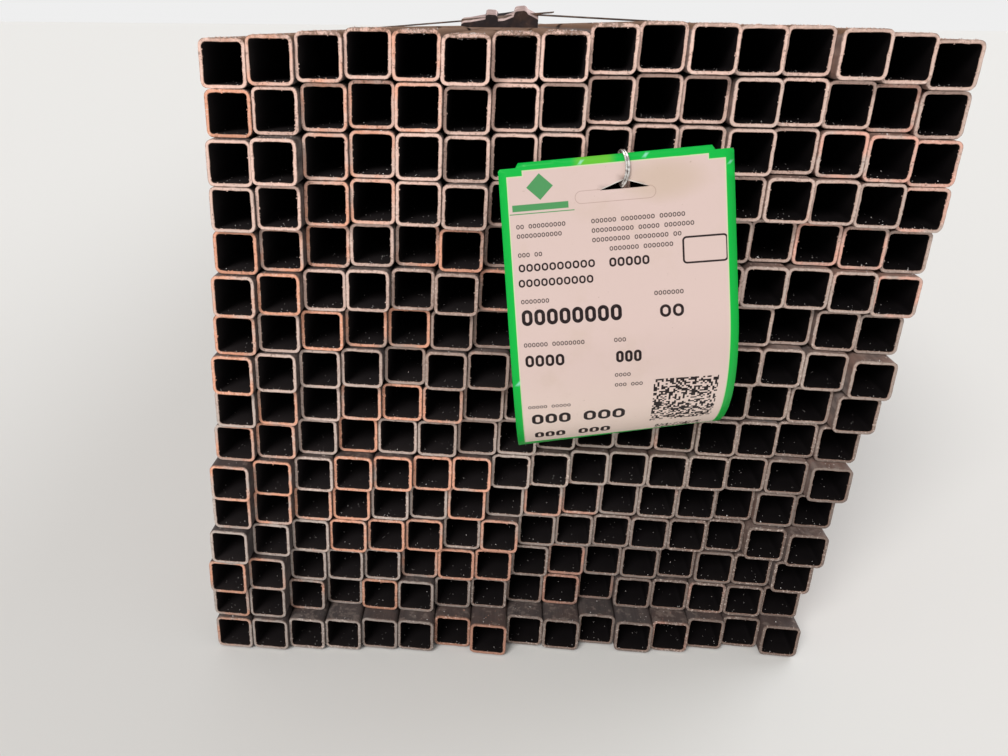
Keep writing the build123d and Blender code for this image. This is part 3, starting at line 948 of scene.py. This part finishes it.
class Litter:
    """The burrs, chips and crumbs of one tube, which stand about the tube's own middle."""

    def __init__(self, tube, side, length, chance):
        self.tube = tube
        self.side = side
        self.length = length
        self.chance = chance
        self.reach = side / 2 - TUBE_WALL

    def grain(self, at, size, material, fresh=1.0):
        """One small crooked tetrahedron, as fresh as a sawn rim or as dull as a wall."""
        chance = self.chance
        axis = Vector((chance.uniform(-1, 1), chance.uniform(-1, 1), chance.uniform(-1, 1)))
        turn = Matrix.Rotation(chance.uniform(0, math.tau), 4, axis)
        made = bmesh.ops.create_cone(
            self.tube, cap_ends=True, segments=3, radius1=size, radius2=0.0,
            depth=size * chance.uniform(*GRAIN_DEPTH), matrix=Matrix.Translation(at) @ turn,
        )
        cut = self.tube.verts.layers.float["cut"]
        across = self.tube.verts.layers.float["across"]
        for vert in made["verts"]:
            vert[cut] = fresh
            vert[across] = 0.5
        bake = self.tube.loops.layers.uv["OFBake"]
        left, right = BAKE_GRAINS
        for face in {face for vert in made["verts"] for face in vert.link_faces}:
            face.material_index = material
            low = BAKE_GRAIN_LOW + BAKE_GRAIN_STEP * material
            places = ((left, low), (right, low), (left, low + BAKE_GRAIN_HIGH))
            for place, loop in zip(places, face.loops):
                loop[bake].uv = place

    def burrs(self, end):
        """Burrs round the inner edge of a rim, most of them low."""
        chance = self.chance
        across = self.reach - BURR_STAND
        for _ in range(BURRS):
            along = chance.uniform(-1, 1) * (self.reach - TUBE_CORNER / 2)
            sides = [(across, along), (-across, along), (along, -across), (along, across)]
            x, z = chance.choices(sides, weights=BURR_EDGES)[0]
            at = Vector((x, end * (self.length / 2 - BURR_SET_BACK), z))
            self.grain(at, chance.uniform(*BURR_SIZE), STEEL)

    def clot(self, end, count):
        """A clot of dust on the upper edge of the rim, thickest right of its middle."""
        chance = self.chance
        for _ in range(count):
            x = chance.triangular(*CLOT_ACROSS) * self.reach * CLOT_SHARE
            z = self.reach + chance.triangular(*CLOT_UP) * MM
            at = Vector((x, end * (self.length / 2 + chance.uniform(*CLOT_OUT) * MM), z))
            self.grain(at, chance.uniform(*CLOT_SIZE), chance.choice(CLOT_FINISHES), fresh=0.0)

    def chips(self, end):
        """Chips on the floor of the bore, fewer the deeper in."""
        chance = self.chance
        for _ in range(CHIPS):
            inward = CHIP_REACH * chance.random() ** CHIP_GATHER + CHIP_SET_BACK
            along = chance.uniform(-1, 1) * (self.reach - CHIP_MARGIN)
            at = Vector((along, end * (self.length / 2 - inward), CHIP_LIFT - self.reach))
            self.grain(at, chance.uniform(*CHIP_SIZE), BRIGHT)

    def crumbs(self, end, reach, count):
        """Crumbs on top of the tube, out to this far behind its end."""
        chance = self.chance
        for _ in range(count):
            inward = CRUMB_SET_BACK + (reach - CRUMB_SET_BACK) * chance.random() ** CRUMB_GATHER
            along = chance.uniform(-1, 1) * (self.side / 2 - TUBE_CORNER)
            at = Vector((along, end * (self.length / 2 - inward), self.side / 2))
            self.grain(at, chance.uniform(*CRUMB_SIZE), chance.choice(CRUMB_FINISHES))

    def scatter(self, clotted, box, cover):
        """Fills both ends of the tube in this box. The cover is the box of the tube above, if any."""
        low, high = box
        for end in (-1, 1):
            near = end < 0
            self.burrs(end)
            self.chips(end)
            if near:
                self.clot(end, clotted)
            if cover is None:
                self.crumbs(end, TOP_REACH, TOP_CRUMBS)
                continue
            bare = cover[0].y - low.y if near else high.y - cover[1].y
            if bare > LEAST_BARE:
                self.crumbs(end, bare, int(bare / CRUMB_ROOM))


def weather(tube, tint, rust, dust_floor):
    """Gives a tube its tint and its rust all over, and dust above a height. On the listed tubes the
    rust is partly painted warm light.
    """
    tints, rusts, dusts = [tube.verts.layers.float[name] for name in ("tint", "rust", "dust")]
    for vert in tube.verts:
        vert[tints] = tint
        vert[rusts] = rust
        vert[dusts] = 1.0 if vert.co.z > dust_floor else 0.0


def lift_to_row(tube, column):
    """Moves a tube's map for the bake to its own row."""
    bake = tube.loops.layers.uv["OFBake"]
    for face in tube.faces:
        for loop in face.loops:
            along, up = loop[bake].uv
            loop[bake].uv = (along, (column + up) / BAKE_ROWS)


def tube_layer(node_name, number, above, template, looks):
    """The sixteen tubes of one layer as one piece. The top layer has none above it."""
    mesh = bmesh.new()
    scratch = bpy.data.meshes.new("scratch")
    chance = random.Random(FIRST_SEED + number)
    boxes = tubes_in(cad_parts[node_name])
    for column, (low, high) in enumerate(boxes):
        side = high.x - low.x
        length = high.y - low.y
        tube = bmesh.new()
        tube.from_mesh(template)
        noise_x = column * NOISE_STRIDE[0]
        noise_y = number * NOISE_STRIDE[1]
        roughen(tube.verts, side, length, Vector((noise_x, noise_y, chance.uniform(0, NOISE_ROOM))))
        litter = Litter(tube, side, length, chance)
        litter.scatter(CLOTTED.get((number, column), 0), (low, high), above and above[column])
        tint = chance.random()
        # For the listed tubes this rust is partly painted warm light.
        rust = RUST_AND_WARM_LIGHT[number].get(column, chance.random() * TRACE_OF_RUST)
        weather(tube, tint, rust, math.inf if above else side / 2 - DUST_DEPTH)
        lift_to_row(tube, column)
        bmesh.ops.translate(tube, verts=tube.verts[:], vec=(low + high) / 2)
        tube.to_mesh(scratch)
        tube.free()
        mesh.from_mesh(scratch)
    bpy.data.meshes.remove(scratch)
    piece = finish_mesh(mesh, f"tubes_in_layer_{number + 1:02d}", looks, TUBE_SMOOTH)
    stand_in(piece, node_name)
    return boxes


def make_tubes():
    """All the layers from the top down, because each needs to know how the one above it lies.
    Without a seed, the noise of the ragged ends would be another one in each run."""
    noise.seed_set(NOISE_SEED)
    names = sorted(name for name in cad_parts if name.startswith("tube_layer"))
    first = tubes_in(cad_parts[names[0]])[0]
    size = first[1] - first[0]
    template = make_tube(size.x, size.y)
    looks = [tube_steel(), shaded_bore_scale(), bright_chip()]
    above = None
    for number in reversed(range(len(names))):
        above = tube_layer(names[number], number, above, template, looks)
    bpy.data.meshes.remove(template)


# The tag

def card_matrix():
    """Turns the card's own X, Y and Z, across, up and out, to where it hangs. It isn't moved yet."""
    across = Vector((math.cos(CARD_TURN), 0, math.sin(CARD_TURN)))
    out = Vector((
        -math.sin(CARD_LEAN) * math.sin(CARD_TURN),
        -math.cos(CARD_LEAN),
        math.sin(CARD_LEAN) * math.cos(CARD_TURN),
    ))
    up = out.cross(across)
    return Matrix((across, up, out)).transposed().to_4x4()


def cut_out(card, outline):
    """Cuts a convex outline, given clockwise, out of the flat card."""
    sides = []
    for number, (x, y) in enumerate(outline):
        next_x, next_y = outline[(number + 1) % len(outline)]
        start = Vector((x, y, 0))
        outward = Vector((y - next_y, next_x - x, 0)).normalized()
        everything = card.verts[:] + card.edges[:] + card.faces[:]
        bmesh.ops.bisect_plane(card, geom=everything, plane_co=start, plane_no=outward)
        sides.append((start, outward))
    gone = []
    for face in card.faces:
        centre = face.calc_center_median()
        if all((centre - start).dot(outward) < 0 for start, outward in sides):
            gone.append(face)
    bmesh.ops.delete(card, geom=gone, context="FACES")


def curl(card):
    """Curls the foot of the card back, round an axis that is skewed to its top edge."""
    radius = CURL_RADIUS + CARD_THICKNESS / 2
    for vert in card.verts:
        flat = CARD_FLAT - vert.co.x * math.tan(CURL_SKEW)
        over = -vert.co.y - flat
        if over > 0:
            angle = over / radius
            vert.co.y = -flat - radius * math.sin(angle)
            vert.co.z = -radius * (1 - math.cos(angle))


def make_card(front, core):
    """The card: a grid with its corners and hole cut, curled at the foot and given a thickness."""
    card = bmesh.new()
    middle = Matrix.Translation((0, -CARD_LENGTH / 2, 0))
    stretched = Matrix.Diagonal((CARD_WIDTH, CARD_LENGTH, 1, 1))
    across, down = CARD_GRID
    bmesh.ops.create_grid(
        card, x_segments=across, y_segments=down, size=0.5, matrix=middle @ stretched,
    )
    edge = CARD_WIDTH / 2
    past = edge * CUT_PAST
    for side in (-1, 1):
        shoulder = [
            (side * (edge - SHOULDER_TOP), CUT_OVER),
            (side * past, CUT_OVER),
            (side * past, -SHOULDER_DROP),
            (side * (edge - SHOULDER_FOOT), -SHOULDER_DROP),
        ]
        corner = [
            (side * (edge - CORNER_CUT), -SHOULDER_DROP),
            (side * past, -SHOULDER_DROP),
            (side * past, -SHOULDER_DROP - CORNER_CUT - (past - edge)),
            (side * edge, -SHOULDER_DROP - CORNER_CUT),
        ]
        for outline in (shoulder, corner):
            cut_out(card, outline if side > 0 else outline[::-1])
    hole = [
        (HOLE_ASIDE - HOLE_WIDTH / 2, -HOLE_DEPTH),
        (HOLE_ASIDE, HOLE_HEIGHT - HOLE_DEPTH),
        (HOLE_ASIDE + HOLE_WIDTH / 2, -HOLE_DEPTH),
    ]
    cut_out(card, hole)
    uv = card.loops.layers.uv.new("card")
    for face in card.faces:
        for loop in face.loops:
            place = loop.vert.co
            loop[uv].uv = (place.x / CARD_WIDTH + 0.5, 1.0 + place.y / CARD_LENGTH)
    curl(card)
    turned = card_matrix()
    bmesh.ops.transform(card, matrix=turned, verts=card.verts[:])
    low = Vector(min(vert.co[axis] for vert in card.verts) for axis in range(3))
    high = Vector(max(vert.co[axis] for vert in card.verts) for axis in range(3))
    cad_low, cad_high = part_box("tag_card")
    shift = (cad_low + cad_high) / 2 - (low + high) / 2
    bmesh.ops.translate(card, verts=card.verts[:], vec=shift)
    piece = finish_mesh(card, "tag", [front, core], CARD_SMOOTH)
    thick = piece.modifiers.new("thickness", "SOLIDIFY")
    thick.thickness = CARD_THICKNESS
    thick.offset = 0.0
    thick.material_offset = 1
    thick.material_offset_rim = 1
    stand_in(piece, "tag_card")
    return Matrix.Translation(shift) @ turned


def rounded(points, times):
    """Cuts the corners of a path, each time a little finer."""
    for _ in range(times):
        finer = [points[0]]
        for start, stop in zip(points, points[1:]):
            finer.append(start.lerp(stop, 0.25))
            finer.append(start.lerp(stop, 0.75))
        points = finer + [points[-1]]
    return points


def make_wire(hang, look):
    """The tie wire: both its ends lie in one bore, and its strands turn round each other."""
    on_card = [hang @ (Vector(point) * MM) for point in WIRE_ON_CARD]
    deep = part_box("tag_wire")[1].y - STRAND_RADIUS
    floor = (hang @ Vector((HOLE_ASIDE, 0, 0))).z - BORE_DROP
    upper_end = Vector((on_card[0].x, deep, floor + WIRE_SPREAD))
    lower_end = Vector((on_card[-1].x, deep, floor))
    path = rounded([upper_end] + on_card + [lower_end], WIRE_ROUNDINGS)
    curve = bpy.data.curves.new("tag_tie", "CURVE")
    curve.dimensions = "3D"
    curve.bevel_depth = STRAND_RADIUS
    curve.bevel_resolution = STRAND_SIDES
    curve.use_fill_caps = True
    aside = Vector((1, 0, 0))
    strands = [[], []]
    travel = -sum((stop - start).length for start, stop in zip(path, path[1:])) / 2
    for number, point in enumerate(path):
        ahead = (path[min(number + 1, len(path) - 1)] - path[max(number - 1, 0)]).normalized()
        aside = (aside - ahead * aside.dot(ahead)).normalized()
        travel += (point - path[number - 1]).length if number else 0.0
        for side, strand in enumerate(strands):
            twist = TWIST_AHEAD + math.tau * travel / TWIST_PITCH + math.pi * side
            turn = Matrix.Rotation(twist, 3, ahead)
            strand.append(point + turn @ aside * STRAND_RADIUS)
    for strand in strands:
        spline = curve.splines.new("POLY")
        spline.points.add(len(strand) - 1)
        for knot, place in zip(spline.points, strand):
            knot.co = (*place, 1.0)
    drawn = bpy.data.objects.new("tag_tie_curve", curve)
    data = bpy.data.meshes.new_from_object(drawn)
    bpy.data.objects.remove(drawn)
    bpy.data.curves.remove(curve)
    wire = bmesh.new()
    wire.from_mesh(data)
    bpy.data.meshes.remove(data)
    piece = finish_mesh(wire, "tag_tie", [look], WIRE_SMOOTH)
    stand_in(piece, "tag_wire")


# The straps and their seals

def dress(names, look):
    """Gives nodes that keep their shape their finish."""
    for name in names:
        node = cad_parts[name]
        node.data.materials.clear()
        node.data.materials.append(look.material)


def seal_section(low, high, back, crimped, rounding):
    """The places of one of the seal's sections, this share of its depth behind its near edge."""
    size = high - low
    places = []
    for across, up_crimped, up_between in SEAL_OUTLINE:
        up = up_between + (up_crimped - up_between) * crimped
        up -= min(rounding, up * MOST_ROUNDED)
        places.append(low + Vector((across * size.x, back * size.y, up * size.z)))
    return places


def make_seal(node_name, dark, sheen):
    """The seal: a plain middle between two rounded crimped edges, painted sheen on top, painted shade
    below.
    """
    low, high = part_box(node_name)
    far_half = [(1 - back, crimped, rounding) for back, crimped, rounding in reversed(SEAL_SECTIONS)]
    sections = [seal_section(low, high, *section) for section in [*SEAL_SECTIONS, *far_half]]
    seal = bmesh.new()
    face = seal.faces.new([seal.verts.new(place) for place in sections[0]])
    for number, places in enumerate(sections[1:]):
        made = bmesh.ops.extrude_face_region(seal, geom=[face], use_keep_orig=number == 0)
        face = next(item for item in made["geom"] if isinstance(item, bmesh.types.BMFace))
        for vert, place in zip(face.verts, places):
            vert.co = place
    bmesh.ops.recalc_face_normals(seal, faces=seal.faces[:])
    for face in seal.faces:
        face.normal_update()
        # Faces that look up get the painted sheen, the rest the painted shade.
        face.material_index = 1 if face.normal.z > SHEEN_SLOPE else 0
    piece = finish_mesh(seal, f"{node_name}_crimped", [dark, sheen], SEAL_SMOOTH)
    stand_in(piece, node_name)


def make_straps():
    """The straps, which keep their shape, and a seal on each."""
    numbers = range(1, STRAPS + 1)
    dress([f"strap_{number}" for number in numbers], strap_steel("strap_steel", *STRAP_TONES))
    dark = strap_steel("seal_shade", *SEAL_SHADE_TONES)
    sheen = strap_steel("seal_sheen", *SHEEN_TONES)
    for number in numbers:
        make_seal(f"strap_seal_{number}", dark, sheen)


# The studio

LENS_PIXELS = 803.8
PHOTO_WIDTH = 1008
PHOTO_HEIGHT = 756
PHOTO_CENTRE = (408.7, 337.0)
SENSOR = 36.0
CAMERA_AT = (-24.61 * MM, -3359.94 * MM, 328.77 * MM)
CAMERA_DOWN = 21.28
CAMERA_LEFT = 6.47
CAMERA_ROLL = 0.54


def make_camera():
    """The photograph's camera, as it was fitted to the ends of the tubes."""
    data = bpy.data.cameras.new("camera")
    data.sensor_width = SENSOR
    data.lens = LENS_PIXELS / PHOTO_WIDTH * SENSOR
    data.shift_x = (PHOTO_WIDTH / 2 - PHOTO_CENTRE[0]) / PHOTO_WIDTH
    data.shift_y = (PHOTO_CENTRE[1] - PHOTO_HEIGHT / 2) / PHOTO_WIDTH
    data.clip_start = 10 * MM
    camera = bpy.data.objects.new("camera", data)
    bpy.context.scene.collection.objects.link(camera)
    camera.location = CAMERA_AT
    tilt = Matrix.Rotation(math.radians(90 - CAMERA_DOWN), 4, "X")
    turn = Matrix.Rotation(math.radians(CAMERA_LEFT), 4, "Z")
    roll = Matrix.Rotation(math.radians(CAMERA_ROLL), 4, "Z")
    camera.rotation_euler = (turn @ tilt @ roll).to_euler()
    bpy.context.scene.camera = camera


FLOOR_SIZE = 400.0
FLOOR_COLOUR = (0.80, 0.80, 0.79)
SKY_COLOUR = (0.86, 0.86, 0.86)
LAMP_COLOUR = (1.0, 0.98, 0.96)
LAMP_STRENGTH = 0.45

# The suns: the way to each, its strength, its softness in degrees and its colour.
KEY_SUN = ((-0.5, -1.0, 0.9), 2.1, 25, (1.0, 0.97, 0.94))
FILL_SUN = ((0.9, 0.7, 0.8), 1.0, 40, (0.96, 0.98, 1.0))


def make_floor():
    """The plain pale floor."""
    look = Look("studio_floor", roughness=0.9, specular=0.1)
    look.set("Base Color", colour(FLOOR_COLOUR))
    plane = bmesh.new()
    bmesh.ops.create_grid(plane, x_segments=1, y_segments=1, size=FLOOR_SIZE / 2)
    floor = finish_mesh(plane, "studio_floor", [look])


def make_sun(name, direction, strength, softness, tint):
    """A soft sun."""
    data = bpy.data.lights.new(name, "SUN")
    data.energy = strength
    data.color = tint
    data.angle = math.radians(softness)
    sun = bpy.data.objects.new(name, data)
    bpy.context.scene.collection.objects.link(sun)
    sun.rotation_euler = Vector(direction).to_track_quat("Z", "Y").to_euler()


def make_world():
    """Plain light from all round. Behind the object and in its gloss, only the backdrop is seen."""
    world = bpy.data.worlds.new("studio")
    bpy.context.scene.world = world
    world.use_nodes = True
    tree = world.node_tree
    tree.nodes.clear()
    path = tree.nodes.new("ShaderNodeLightPath")
    seen = tree.nodes.new("ShaderNodeMath")
    seen.operation = "MAXIMUM"
    tree.links.new(path.outputs["Is Camera Ray"], seen.inputs[0])
    tree.links.new(path.outputs["Is Glossy Ray"], seen.inputs[1])
    lamp = tree.nodes.new("ShaderNodeBackground")
    lamp.inputs["Color"].default_value = colour(LAMP_COLOUR)
    lamp.inputs["Strength"].default_value = LAMP_STRENGTH
    backdrop = tree.nodes.new("ShaderNodeBackground")
    backdrop.inputs["Color"].default_value = colour(SKY_COLOUR)
    mixed = tree.nodes.new("ShaderNodeMixShader")
    tree.links.new(seen.outputs[0], mixed.inputs[0])
    tree.links.new(lamp.outputs[0], mixed.inputs[1])
    tree.links.new(backdrop.outputs[0], mixed.inputs[2])
    output = tree.nodes.new("ShaderNodeOutputWorld")
    tree.links.new(mixed.outputs[0], output.inputs[0])


make_camera()
make_tubes()
make_wire(make_card(coated_card(), card_core()), tie_wire_steel())
make_straps()
make_floor()
make_world()
make_sun("key", *KEY_SUN)
make_sun("fill", *FILL_SUN)

scene = bpy.context.scene
scene.view_settings.view_transform = "Standard"
